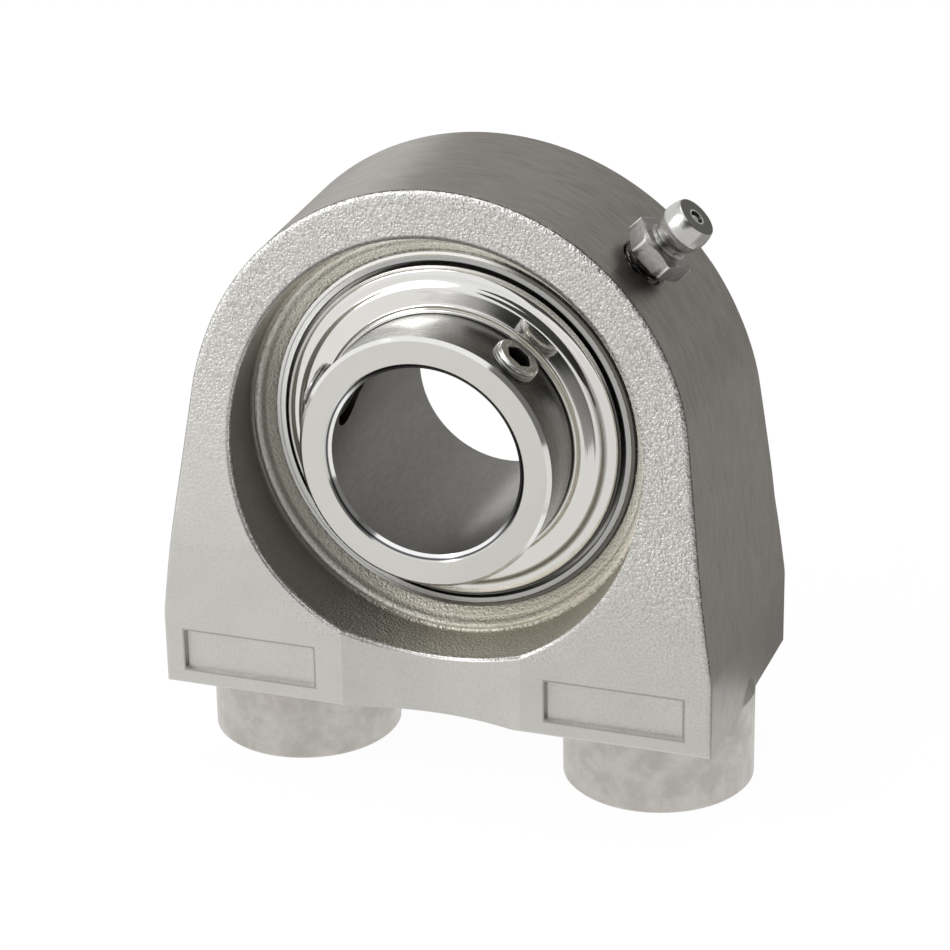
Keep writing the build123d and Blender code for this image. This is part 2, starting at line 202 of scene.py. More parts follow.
def toward(finish, angle):
    """1 on the side of the shaft that lies at an angle from +X, and -1 on the far side."""
    x, y, z = from_mounting(finish)
    height = z - SHAFT_RISE
    turn = math.radians(angle)
    return (x * math.cos(turn) + height * math.sin(turn)) / (x * x + height * height) ** 0.5


def from_axis(finish, angle, along):
    """Height out from the shaft, and distance from the axis, of a part that stands outward."""
    x, y, z = from_mounting(finish)
    turn = math.radians(angle)
    height = x * math.cos(turn) + (z - SHAFT_RISE) * math.sin(turn)
    sideways = x * math.sin(turn) - (z - SHAFT_RISE) * math.cos(turn)
    off = y - along
    return height, (sideways * sideways + off * off) ** 0.5


def facing(finish):
    """The direction that the surface faces, on the piece's own axes."""
    return finish.parts(finish.add("ShaderNodeTexCoord", out="Normal"))


def bowed_band(value, middle, reach):
    """Round hump of height 1 over a value's middle, which ends at its reach to either side."""
    share = (value - middle) / reach
    return (1 - share * share).maths("MAXIMUM", 0.0)


# Building shapes
def outward_place(angle, along):
    """Matrix whose Z points away from the shaft at an angle from +X, and X along the shaft."""
    turn = math.radians(angle)
    away = Vector((math.cos(turn), 0, math.sin(turn)))
    across = Vector((0, 1, 0))
    axes = Matrix((across, away.cross(across), away)).transposed().to_4x4()
    return Matrix.Translation((0, along * MM, SHAFT_RISE * MM)) @ axes


def shaft_place(side):
    """Matrix whose Z points along the shaft, away from the bearing's middle, on one side of it."""
    out = Vector((0, side, 0))
    across = Vector((1, 0, 0))
    axes = Matrix((across, out.cross(across), out)).transposed().to_4x4()
    return Matrix.Translation((0, 0, SHAFT_RISE * MM)) @ axes


def shown(name, shell):
    """Object with a finished shell as its shape, smooth but for its sharp edges."""
    sharp = math.radians(28)
    bmesh.ops.recalc_face_normals(shell, faces=shell.faces)
    for edge in shell.edges:
        edge.smooth = edge.calc_face_angle(0) < sharp
    for face in shell.faces:
        face.smooth = True
    mesh = bpy.data.meshes.new(name)
    shell.to_mesh(mesh)
    shell.free()
    piece = bpy.data.objects.new(name, mesh)
    bpy.context.scene.collection.objects.link(piece)
    return piece


def stacked(name, rings, place, material, count=96, hollow=False):
    """Closed skin over rings that share an axis; each ring gives its radius and height at an angle.
    Both ends close in a point, or join each other round a hole."""
    shell = bmesh.new()
    loops = []
    for ring in rings:
        loop = []
        for step in range(count):
            turn = 2 * math.pi * step / count
            radius, height = ring(turn)
            spot = Vector((radius * math.cos(turn), radius * math.sin(turn), height)) * MM
            loop.append(shell.verts.new(place @ spot))
        loops.append(loop)
    above = loops[1:] + loops[:1] if hollow else loops[1:]
    ends = () if hollow else ((loops[0], True), (loops[-1], False))
    for lower, upper in zip(loops, above):
        for step in range(count):
            after = (step + 1) % count
            shell.faces.new((lower[step], lower[after], upper[after], upper[step]))
    for loop, flip in ends:
        middle = shell.verts.new(sum((corner.co for corner in loop), Vector()) / count)
        for step in range(count):
            pair = (loop[step], loop[(step + 1) % count])
            shell.faces.new((middle, *(reversed(pair) if flip else pair)))
    piece = shown(name, shell)
    piece.data.materials.append(material)
    return piece


def level_ring(radius, height):
    """Round ring at one height."""
    return lambda turn: (radius, height)


def hexagon_ring(width, height, most=math.inf):
    """Ring on a hexagon's outline, cut back to a round of radius most."""
    sixth = math.pi / 3

    def ring(turn):
        from_flat = (turn + sixth / 2) % sixth - sixth / 2
        return min(width / 2 / math.cos(from_flat), most), height

    return ring


def thread_rings(root, crest, pitch, low, high, lead_low, lead_high):
    """Rings up a screw thread, whose ridge winds round as it climbs. Leads bevel its two ends."""
    rings_a_turn = 9
    flat_valley, flank = 0.12, 0.76      # shares of half a turn
    rings = []
    count = max(2, round((high - low) / pitch * rings_a_turn))
    for step in range(count + 1):
        height = low + (high - low) * step / count

        def ring(turn, height=height):
            wave = abs(((height / pitch - turn / (2 * math.pi)) % 1) * 2 - 1)
            ridge = min(max((wave - flat_valley) / flank, 0), 1)
            radius = root + (crest - root) * ridge
            lead = min(crest - lead_low + (height - low), crest - lead_high + (high - height))
            return min(radius, lead), height

        rings.append(ring)
    return rings


def arc_rings(start, end, bulge, count):
    """Rings along a bowed line between two (radius, height) ends."""
    rings = []
    for step in range(count + 1):
        share = step / count
        radius = start[0] + (end[0] - start[0]) * share + bulge * 4 * share * (1 - share)
        rings.append(level_ring(radius, start[1] + (end[1] - start[1]) * share))
    return rings


def soft_between(before, start, end, after, share):
    """Place on a soft curve from start to end, whose slopes follow the points beside them."""
    slope = end - before
    bend = 2 * before - 5 * start + 4 * end - after
    twist = 3 * start - before - 3 * end + after
    return 0.5 * (2 * start + slope * share + bend * share**2 + twist * share**3)


def smooth_line(points, steps=6):
    """Level rings along a soft curve through (radius, height) points; its ends only steer it."""
    rings = []
    for four in zip(points, points[1:], points[2:], points[3:]):
        for step in range(steps):
            radius, height = (soft_between(*values, step / steps) for values in zip(*four))
            rings.append(level_ring(radius, height))
    return rings


# Pieces of this bearing
def slinger(name, side, material):
    """Spun slinger: rolled collar on the inner ring, dished face, soft step and outer band."""
    face = smooth_line([
        (17.00, 10.40),
        (17.05, 10.72),
        (17.28, 10.84),
        (17.52, 10.74),
        (17.66, 10.35),
        (17.84, 10.06),
        (18.15, 9.96),
        (18.80, 9.92),
        (19.50, 9.90),
        (19.90, 9.90),
        (20.20, 9.85),
        (20.50, 9.70),
        (20.80, 9.50),
        (21.10, 9.38),
        (21.40, 9.35),
        (21.75, 9.31),
        (22.20, 9.19),
        (22.38, 9.08),
        (22.47, 8.93),
        (22.52, 8.84),
        (22.60, 8.92),
        (22.70, 8.93),
        (22.80, 8.87),
        (22.85, 8.74),
        (22.80, 8.62),
    ])
    back = [
        (22.72, 8.56),
        (22.45, 8.52),
        (21.9, 8.72),
        (21.0, 8.90),
        (20.3, 9.30),
        (18.2, 9.42),
        (17.62, 9.38),
        (17.6, 7.68),
        (17.03, 7.66),
    ]
    rings = face + [level_ring(*spot) for spot in back]
    piece = stacked(name + "_spun", rings, shaft_place(side), material, 240, True)
    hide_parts(name)
    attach(piece, "inner")


def setscrew(number, material):
    """Socket setscrew: threaded outside, bevelled rim, hexagon socket and cup point."""
    point = 13.2
    radius, thread_depth, pitch = 3.12, 0.27, 0.5
    key, socket_depth = 3.175, 2.4
    point_bevel = 0.6
    floor = SCREW_TOP - socket_depth
    thread = thread_rings(
        radius - thread_depth,
        radius,
        pitch,
        point + 0.1,
        SCREW_TOP - 0.02,
        point_bevel,
        SCREW_BEVEL,
    )
    rings = [
        level_ring(0.15, point + 0.75),
        level_ring(1.75, point),
        level_ring(2.35, point),
        *thread,
        level_ring(radius - SCREW_BEVEL - 0.02, SCREW_TOP),
        hexagon_ring(key + 0.24, SCREW_TOP),
        hexagon_ring(key, SCREW_TOP - 0.12),
        hexagon_ring(key, floor),
        level_ring(0.2, floor - 0.6),
    ]
    name = f"setscrew_{number}"
    place = outward_place(SCREW_ANGLES[number], SCREW_ALONG)
    piece = stacked(name + "_threaded", rings, place, material)
    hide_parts(name)
    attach(piece, f"screw_{number}")


def grease_fitting(material):
    """Nipple: threaded shank, hexagon with turned corners, waist, round head, bored mouth."""
    seat, tip = FITTING_SEAT, FITTING_TIP
    hexagon, cone, neck, flare, band = 38.73, 38.98, 39.08, 41.28, 41.78
    shank_end, crimp = 31.03, 31.60
    width, crown, slope = 7.94, 3.75, math.tan(math.radians(30))
    mouth, mouth_floor, ball_bore = 0.85, tip - 0.5, 1.14
    corner = width / 2 / math.cos(math.pi / 6)
    turned_from = hexagon - (corner - crown) * slope
    rings = [
        level_ring(1.18, shank_end),
        level_ring(2.5, shank_end),
        *thread_rings(2.62, 3.09, 1.0, shank_end + 0.02, seat - 0.25, 0.3, 0.2),
        level_ring(2.75, seat - 0.1),
        level_ring(2.8, seat),
        level_ring(3.6, seat),
        hexagon_ring(width, seat + 0.12, 4.3),
        hexagon_ring(width, seat + 0.3),
    ]
    steps = 10
    for step in range(steps + 1):
        height = turned_from + (hexagon - turned_from) * step / steps
        rings.append(hexagon_ring(width, height, crown + (hexagon - height) / slope))
    rings += [
        level_ring(3.0, hexagon),
        *arc_rings((2.7, hexagon), (2.25, cone), -0.05, 4),
        *arc_rings((2.25, cone + 0.02), (2.25, neck), 0, 2),
        *arc_rings((2.30, neck + 0.05), (3.14, flare - 0.1), 0.12, 12),
        *arc_rings((3.18, flare), (3.22, band), 0.02, 4),
        *arc_rings((3.22, band + 0.05), (2.84, tip - 0.12), 0.10, 10),
        *arc_rings((2.82, tip - 0.09), (2.72, tip), 0.02, 3),
        level_ring(mouth + 0.1, tip),
        level_ring(mouth, tip - 0.08),
        level_ring(mouth, mouth_floor),
        level_ring(ball_bore, mouth_floor),
        level_ring(ball_bore, crimp),
    ]
    piece = stacked("grease_nipple", rings, outward_place(FITTING_ANGLE, FITTING_ALONG), material)
    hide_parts("grease_fitting")
    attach(piece, "housing")


def coil_tree():
    """Geometry nodes that wind round wire into a coil, which climbs from the origin along Z."""
    tree = bpy.data.node_groups.new("coil", "GeometryNodeTree")
    for name in ("Turns", "Coil Radius", "Rise", "Wire Radius"):
        tree.interface.new_socket(name=name, in_out="INPUT", socket_type="NodeSocketFloat")
    tree.interface.new_socket(name="Finish", in_out="INPUT", socket_type="NodeSocketMaterial")
    tree.interface.new_socket(name="Geometry", in_out="OUTPUT", socket_type="NodeSocketGeometry")

    def node(kind, **values):
        made = tree.nodes.new(kind)
        for name, value in values.items():
            socket = made.inputs[name.replace("_", " ")]
            if isinstance(value, bpy.types.NodeSocket):
                tree.links.new(value, socket)
            else:
                socket.default_value = value
        return made.outputs

    given = node("NodeGroupInput")
    line = node(
        "GeometryNodeCurveSpiral",
        Resolution=32,
        Rotations=given["Turns"],
        Start_Radius=given["Coil Radius"],
        End_Radius=given["Coil Radius"],
        Height=given["Rise"],
    )
    section = node("GeometryNodeCurvePrimitiveCircle", Resolution=12, Radius=given["Wire Radius"])
    wire = node(
        "GeometryNodeCurveToMesh",
        Curve=line["Curve"],
        Profile_Curve=section["Curve"],
        Fill_Caps=True,
    )
    whole = node("GeometryNodeRealizeInstances", Geometry=wire["Mesh"])
    done = node("GeometryNodeSetMaterial", Geometry=whole["Geometry"], Material=given["Finish"])
    node("NodeGroupOutput", Geometry=done["Geometry"])
    return tree


def check_spring(material):
    """Coil that holds the check ball shut."""
    low, high = 31.70, 41.73
    coil_radius, wire_radius = 0.85, 0.13
    tree = coil_tree()
    wound = bpy.data.objects.new("wound_wire", bpy.data.meshes.new("wound_wire"))
    bpy.context.scene.collection.objects.link(wound)
    winding = wound.modifiers.new("coil", "NODES")
    winding.node_group = tree
    sizes = {
        "Turns": 5.0,
        "Coil Radius": coil_radius * MM,
        "Rise": (high - low) * MM,
        "Wire Radius": wire_radius * MM,
        "Finish": material,
    }
    for item in tree.interface.items_tree:
        if item.in_out == "INPUT":
            winding[item.identifier] = sizes[item.name]
    finished = wound.evaluated_get(bpy.context.evaluated_depsgraph_get())
    shape = bpy.data.meshes.new_from_object(finished)
    bpy.data.objects.remove(wound)
    place = outward_place(FITTING_ANGLE, FITTING_ALONG)
    shape.transform(place @ Matrix.Translation((0, 0, low * MM)))
    shell = bmesh.new()
    shell.from_mesh(shape)
    bmesh.ops.recalc_face_normals(shell, faces=shell.faces)
    for face in shell.faces:
        face.smooth = True
    shell.to_mesh(shape)
    shell.free()
    shape.name = "coil_spring"
    piece = bpy.data.objects.new("coil_spring", shape)
    bpy.context.scene.collection.objects.link(piece)
    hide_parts("grease_check_spring")
    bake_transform(piece)


# Finishes of this bearing
def block_zones(finish):
    """Masks of the block, each 1 on the part that it names and 0 elsewhere. Two aren't masks:
    upper grows towards the upper right of the shaft, and ledge_rise is the ledge's own relief."""
    x, y, z = from_mounting(finish)
    radius, along = around_shaft(finish)
    turn_x, turn_y, turn_z = facing(finish)
    height = z - SHAFT_RISE
    towards = abs(turn_y)
    depth = abs(along)
    right = toward(finish, -10)
    upper = (x * 0.5 + height * 0.85) / radius

    # Round hollow, whose drafted wall widens outward, and the ledge, crest and groove in it
    wall_depth, wall_radius, draft = 10.0, 27.59, 0.0699
    ledge_start, ledge_end, ledge_slope = 27.12, 27.6, 3.2
    inward = finish.smooth((turn_x * x + turn_z * height) / radius, -0.06, -0.16)
    mouth = (depth - wall_depth) * draft + wall_radius
    hollow = (radius < mouth + 0.2) * (1 - (1 - inward) * (radius > ledge_end))
    solid = 1 - hollow
    wall = hollow * finish.smooth(radius, ledge_start, ledge_start + 0.16)
    lip = finish.smooth(radius - mouth, 0.7, 0.0) * (1 - finish.smooth(right, 0.5, 0.9) * 0.5)
    lip = lip * solid * (radius < 30.0) * (towards > 0.5)
    ledge = hollow * (radius > ledge_start) * (radius < ledge_end) * (1 - inward)
    ledge = ledge * finish.smooth(right, 0.95, 0.55)
    crest = bowed_band(radius, 26.75, 0.45) * hollow * finish.smooth(right, 0.90, 0.50)
    groove = bowed_band(radius, 26.05, 0.28) * hollow

    # Rim of the wall, painted as a lit rounded edge on its lower left; it follows the leaning front
    # face and the scoop under the hub
    scoop_reach, scoop_depth, scoop_top = 12.35, 2.1, 30.0
    half_depth, lean_start, lower_lean = 19.05, 33.0, 0.1545
    upper_half_depth, upper_rise, upper_lean = 14.8, 60.5, 0.0944
    scooped = bowed_band(x, 0.0, scoop_reach) * (z < scoop_top) * scoop_depth
    lower_face = half_depth - (z - lean_start).maths("MAXIMUM", 0.0) * lower_lean
    upper_face = upper_half_depth - (z - upper_rise) * upper_lean
    inset = lower_face.maths("MAXIMUM", upper_face) - scooped - depth
    rolled = wall * finish.smooth(inset, 0.8, 0.1) * (inset > -0.3) * (y < 0)
    rolled = rolled * finish.smooth(upper, 0.10, -0.30)

    # Outside: linished sides and the blended edges between them and the faces
    outside = finish.smooth(towards, 0.55, 0.30) * solid * (radius > 28.5)
    edge = finish.smooth(towards, 0.97, 0.85) * finish.smooth(towards, 0.30, 0.6) * solid
    # Edges that face up, and a band along the arch's front rim, carry a painted highlight
    skyward = finish.smooth(turn_z, 0.15, 0.55)
    rim = finish.smooth(radius, 32.6, 33.7) * finish.smooth(towards, 0.5, 0.7)
    rim = rim * finish.smooth(z, 52.0, 64.0)
    # Painted shade line along the edges between the faces and the sides
    seam = finish.smooth(towards, 0.62, 0.45) * finish.smooth(towards, 0.12, 0.28)
    seam = seam * solid * (z > 24.5)
    beside = finish.smooth(radius, 34.5, 29.0, 0.0, 0.65) * finish.smooth(z, 20.5, 23.5)
    beside = beside * finish.smooth(x, -32.0, -12.0)
    grainy = finish.smooth(z + x * 0.4, 24.0, 56.0, 0.22, 1.0).maths("MAXIMUM", beside)

    # Blank panels on the front: painted shade along the outline of each, and on the walls round
    # them that face down
    panel_out, panel_rise, panel_shift = 25.275, 17.8, 0.375
    half_width, half_height = 9.3, 2.85
    beyond_x = abs(abs(x) - panel_out + x.maths("SIGN") * panel_shift) - half_width
    beyond_z = abs(z - panel_rise) - half_height
    off_outline = abs(beyond_x.maths("MAXIMUM", beyond_z))
    panel = finish.smooth(off_outline, 0.34, 0.10) * (y < 0) * solid * (towards > 0.8)
    panel_wall = (z < 24.5) * (z > 13.0)
    panel_wall = panel_wall * finish.smooth(towards, 0.8, 0.6) * finish.smooth(towards, 0.3, 0.38)

    return SimpleNamespace(
        upper=upper,
        hollow=hollow,
        wall=wall,
        shaded=finish.smooth(toward(finish, 210), 0.30, 0.90),
        shaded_wall_side=finish.smooth(toward(finish, 205), 0.25, 0.92),
        below=finish.smooth(toward(finish, 90), -0.2, -0.7),
        lip=lip,
        ledge_rise=ledge * ((radius - ledge_start) * ledge_slope),
        crest=crest,
        groove=groove,
        rolled=rolled,
        smooth_wall=wall * finish.smooth(x, -8.0, -20.0),
        outside=outside,
        edge=edge,
        edge_highlight=(edge * skyward + rim * 0.6).maths("MINIMUM", 1.0),
        seam=seam,
        grainy=grainy,
        panel=panel,
        panel_wall_shade=panel_wall * finish.smooth(turn_z, 0.2, -0.2),
        foot=finish.smooth(z, 12.8, 12.4),
    )


def with_shade_line(finish, zone, grains, colour):
    """A colour with a painted shade line along the edges between the faces and the sides."""
    painted_crease_shade = zone.seam * finish.smooth(grains, 0.62, 0.48) * 0.75
    return finish.blend(painted_crease_shade, colour, (0.07, 0.068, 0.062))


def face_colour(finish, zone, grains, clouds):
    """Blasted faces: grainier towards the arch, with painted highlights on their upward edges and
    the lip's lower left, and painted shade on the rest of the lip and round the panels.
    """
    face = finish.blend(clouds, (0.53, 0.525, 0.505), (0.62, 0.61, 0.585))
    face = finish.blend(zone.grainy * zone.grainy * 0.15, face, (0.30, 0.295, 0.28))
    bright_grains = finish.smooth(grains, 0.40, 0.66) * zone.grainy
    face = finish.blend(bright_grains * 0.55, face, (0.76, 0.75, 0.73))
    dark_grains = finish.smooth(grains, 0.46, 0.34) * zone.grainy
    face = finish.blend(dark_grains * 0.45, face, (0.36, 0.35, 0.33))
    # Painted highlight on the edges that face up and along the arch's front rim
    painted_highlight = zone.edge_highlight * finish.smooth(grains, 0.36, 0.56)
    face = finish.blend(painted_highlight * 0.7, face, (0.86, 0.855, 0.84))
    # Painted shade on the lip's upper and right side, and a painted highlight on its lower left
    painted_lip_shade = zone.lip * finish.smooth(zone.upper, -0.35, 0.25)
    face = finish.blend(painted_lip_shade * 0.6, face, (0.16, 0.155, 0.14))
    painted_lip_highlight = zone.lip * finish.smooth(zone.upper, -0.25, -0.60)
    painted_lip_highlight = painted_lip_highlight * finish.smooth(grains, 0.40, 0.55)
    face = finish.blend(painted_lip_highlight, face, (0.90, 0.89, 0.87))
    # Painted shade round each panel's outline and on its walls that face down
    face = finish.blend(zone.panel * 0.55, face, (0.20, 0.195, 0.18))
    face = finish.blend(zone.panel_wall_shade * 0.6, face, (0.24, 0.235, 0.22))
    return with_shade_line(finish, zone, grains, face)


def hollow_colour(finish, zone, grains, clouds):
    """Tan cast hollow: painted shade at its lower left, on its wall's left and in its groove, and
    painted highlights on its crest and on its rim's lower left.
    """
    tan = finish.blend(clouds, (0.74, 0.71, 0.61), (0.90, 0.875, 0.79))
    tan = finish.blend(finish.smooth(grains, 0.50, 0.66) * 0.5, tan, (0.96, 0.945, 0.88))
    tan = finish.blend(finish.smooth(grains, 0.44, 0.32) * 0.5, tan, (0.45, 0.42, 0.34))
    tan = finish.blend(zone.shaded * 0.62, tan, (0.20, 0.188, 0.16))
    # Painted highlight along the crest, fading out towards the right
    tan = finish.blend(zone.crest * 0.5, tan, (0.95, 0.93, 0.87))
    # Painted shade in the groove, deeper at the lower left
    tan = finish.blend(zone.groove * (0.25 + zone.shaded * 0.4), tan, (0.14, 0.13, 0.11))
    tan = finish.blend(zone.below * (1 - zone.shaded) * 0.68, tan, (0.50, 0.455, 0.36))
    # Wall with painted shade on its left side
    wall = finish.blend(zone.shaded_wall_side, (0.68, 0.65, 0.57), (0.20, 0.19, 0.172))
    wall = finish.blend(finish.smooth(grains, 0.46, 0.32) * 0.4, wall, (0.10, 0.095, 0.08))
    tan = finish.blend(zone.wall * 0.85, tan, wall)
    # Lower left of the wall's rim: painted highlight, grainy like the faces
    lit_rim_colour = finish.blend(finish.smooth(grains, 0.42, 0.56), (0.45, 0.44, 0.42), (0.95, 0.94, 0.92))
    return finish.blend(zone.rolled * 0.85, tan, lit_rim_colour)


def side_colour(finish, zone, grains, marks):
    """Linished sides: fine marks and soft bands that run along the outline."""
    bands = finish.speckle(2.2, 3.0, 0.6, stretch=(0.5, 1.0, 0.5))
    side = finish.smooth(marks, 0.30, 0.70)
    side = finish.blend(side, (0.315, 0.298, 0.273), (0.425, 0.405, 0.375))
    side = finish.blend(finish.smooth(bands, 0.35, 0.70) * 0.4, side, (0.45, 0.425, 0.395))
    return with_shade_line(finish, zone, grains, side)


def feet_colour(finish):
    """Satin feet with faint blotches."""
    blotches = finish.smooth(finish.speckle(3.5, 4.0, 0.65), 0.32, 0.68)
    return finish.blend(blotches, (0.43, 0.408, 0.378), (0.535, 0.513, 0.478))


def cast_finish():
    """Block: blasted faces, rough tan hollow, sides linished along their outline, satin feet."""
    finish = Finish("cast_stainless")
    zone = block_zones(finish)
    grains = finish.speckle(0.34, 1.5, 0.55)
    lumps = finish.speckle(1.1, 1.5, 0.5)
    clouds = finish.speckle(6.0, 3.0, 0.55)
    marks = finish.speckle(0.24, 2.0, 0.6, stretch=(0.07, 1.0, 0.07))
    upright = finish.speckle(0.30, 2.0, 0.6, stretch=(1.0, 1.0, 0.03))

    face = face_colour(finish, zone, grains, clouds)
    colour = finish.blend(zone.outside, face, side_colour(finish, zone, grains, marks))
    colour = finish.blend(zone.hollow, colour, hollow_colour(finish, zone, grains, clouds))
    colour = finish.blend(zone.foot, colour, feet_colour(finish))

    rough = 0.45 - zone.outside * 0.07 - zone.edge * 0.08 - zone.foot * 0.04
    rough = rough + (grains - 0.5) * 0.10
    blasted = (1 - zone.outside) * (1 - zone.foot * 0.85) * (1 - zone.smooth_wall * 0.8)
    blasted = blasted * (zone.grainy + zone.hollow * 0.6)
    relief = (grains * 0.95 + lumps * 0.3) * blasted
    relief = relief + marks * zone.outside * 0.10
    relief = relief + upright * 0.06 * (1 - zone.grainy) * (1 - zone.outside)
    relief = relief - zone.lip * zone.lip * 1.8 + zone.ledge_rise
    relief = relief + zone.crest * 0.9 - zone.groove * 0.5
    relief = relief + zone.rolled * grains * 1.5
    return finish.surface(
        base_color=colour,
        metallic=1 - zone.hollow * (1 - zone.wall) * 0.6,
        roughness=rough,
        normal=finish.bump(relief, 0.22),
    )


def ground_finish(name, dull, bright, roughness):
    """Ring steel with the fine lines that a grinding wheel leaves round the shaft."""
    finish = Finish(name)
    radius, along = around_shaft(finish)
    lines = finish.flat_speckle(radius, along, 0.18, 3.0)
    clouds = finish.speckle(4.0, 2.0)
    colour = finish.blend(clouds * 0.5 + lines * 0.5, dull, bright)
    rough = roughness + (lines - 0.5) * 0.12 + (clouds - 0.5) * 0.06
    return finish, radius, along, lines, colour, rough


def inner_ring_finish():
    """Inner ring: satin face, polished chamfers painted lighter as highlights, streaked outside
    with painted shade on its right, grey honed bore darkened as painted shade, painted shade in
    its screw hole, and a painted highlight and shade line at its mouth.
    """
    finish, radius, along, lines, colour, rough = ground_finish(
        "inner_ring_steel", (0.60, 0.595, 0.57), (0.68, 0.675, 0.65), 0.24
    )
    towards = abs(facing(finish)[1])
    bore = (radius < 12.76) * finish.smooth(towards, 0.3, 0.1)
    outside = (radius > 16.90) * finish.smooth(towards, 0.3, 0.1)
    chamfer = finish.smooth(towards, 0.2, 0.4) * finish.smooth(towards, 0.95, 0.85)
    screw_hole = (radius > 12.76) * (radius < 16.95) * (along < -11.2) * (along > -18.3)
    # Honed bore, its grey also darkened as painted shade
    honed = finish.speckle(0.5, 3.0, 0.65, stretch=(1.0, 0.25, 1.0))
    grey = finish.blend(honed, (0.27, 0.265, 0.255), (0.43, 0.42, 0.405))
    colour = finish.blend(bore, colour, grey)
    mouth = chamfer * (radius < 13.6)
    streaks = finish.speckle(0.7, 3.0, 0.65, stretch=(1.0, 0.3, 1.0))
    streaks_and_shade = finish.blend(streaks, (0.36, 0.357, 0.345), (0.52, 0.515, 0.50))
    # Outside: streaks, with painted shade on its right
    shaded_right = finish.smooth(toward(finish, 30), 0.45, 0.85)
    streaks_and_shade = finish.blend(shaded_right * 0.72, streaks_and_shade, (0.075, 0.07, 0.062))
    colour = finish.blend(outside, colour, streaks_and_shade)
    # Chamfers: polished, and painted lighter as a highlight
    colour = finish.blend(chamfer * (radius > 13.6), colour, (0.80, 0.795, 0.78))
    # Bore's mouth chamfer: painted highlight, then a painted shade line at its edge
    colour = finish.blend(mouth * (radius < 13.08), colour, (0.90, 0.90, 0.90))
    mouth_line = mouth * bowed_band(radius, 13.18, 0.16)
    colour = finish.blend(mouth_line, colour, (0.06, 0.065, 0.075))
    # Painted shade in the setscrew's hole
    colour = finish.blend(screw_hole, colour, (0.05, 0.042, 0.034))
    rough = rough + bore * 0.12 + outside * 0.03 - chamfer * 0.12 + screw_hole * 0.3
    normal = finish.bump(lines + honed * bore * 2.0, 0.012, 0.6)
    return finish.surface(base_color=colour, metallic=1.0, roughness=rough, normal=normal)


def outer_ring_finish():
    """Outer ring: ground face and bevelled rim, with painted highlight and shade on the bevel,
    painted shade where it meets the seat and the seal, and its left side painted lighter and less
    metallic.
    """
    finish, radius, _, lines, colour, rough = ground_finish(
        "outer_ring_steel", (0.34, 0.345, 0.35), (0.50, 0.50, 0.50), 0.20
    )
    bevel = finish.smooth(radius, 23.92, 24.04)
    bright_line = bevel * finish.smooth(radius, 24.12, 24.00)
    rim = finish.smooth(radius, 24.52, 24.58)
    pocket = finish.smooth(radius, 23.44, 23.36)
    lit = finish.smooth(toward(finish, 140), 0.25, 0.55)
    left = finish.smooth(toward(finish, 190), 0.2, 0.8) * (1 - pocket) * (1 - rim)
    # Bevel: painted highlight on its upper left, painted shade elsewhere, and a painted highlight
    # line
    bevel_colour = finish.blend(lit, (0.13, 0.125, 0.115), (0.92, 0.92, 0.91))
    colour = finish.blend(bevel, colour, bevel_colour)
    colour = finish.blend(bright_line, colour, (0.85, 0.85, 0.84))
    # Painted shade in the gaps to the seat (less where the bevel is lit) and to the seal
    colour = finish.blend(rim * (1 - lit * 0.6), colour, (0.03, 0.03, 0.028))
    colour = finish.blend(pocket, colour, (0.025, 0.025, 0.025))
    # Left side of the face: painted lighter and less metallic
    colour = finish.blend(left, colour, (0.80, 0.80, 0.79))
    slope = (radius - 23.98).maths("MAXIMUM", 0.0).maths("MINIMUM", 0.19)
    return finish.surface(
        base_color=colour,
        metallic=1 - left * 0.7,
        roughness=rough,
        normal=finish.bump(lines * 0.008 - slope, 1.0),
    )


def spun_finish():
    """Slingers: mirror polish with faint rings left from spinning, a painted dark reflection on the
    lower right of the step, and painted shade on the lower right of the outer rim.
    """
    finish, radius, _, lines, colour, rough = ground_finish(
        "spun_steel", (0.72, 0.715, 0.70), (0.80, 0.795, 0.78), 0.075
    )
    step = bowed_band(radius, 20.7, 0.52) * finish.smooth(toward(finish, -30), 0.1, 0.5)
    # Painted dark reflection on the lower right of the step
    colour = finish.blend(step * 0.75, colour, (0.10, 0.09, 0.075))
    rim = finish.smooth(radius, 22.45, 22.52) * finish.smooth(toward(finish, -45), 0.1, 0.45)
    # Painted shade at the outer rim, on its lower right
    colour = finish.blend(rim * 0.9, colour, (0.04, 0.04, 0.04))
    normal = finish.bump(lines, 0.004, 0.4)
    return finish.surface(base_color=colour, metallic=1.0, roughness=rough, normal=normal)


def bright_finish(name, colour, roughness):
    """Polished small part with soft smears and fine dirt in its gloss."""
    finish = Finish(name)
    smears = finish.speckle(1.2, 3.0, 0.6)
    fine = finish.speckle(0.15, 2.0, 0.6)
    duller = tuple(0.8 * level for level in colour)
    shade = finish.blend(finish.smooth(smears, 0.3, 0.8) * 0.4, colour, duller)
    rough = roughness + (smears - 0.5) * 0.10 + (fine - 0.5) * 0.05
    normal = finish.bump(fine, 0.006, 0.5)
    return finish.surface(base_color=shade, metallic=1.0, roughness=rough, normal=normal)


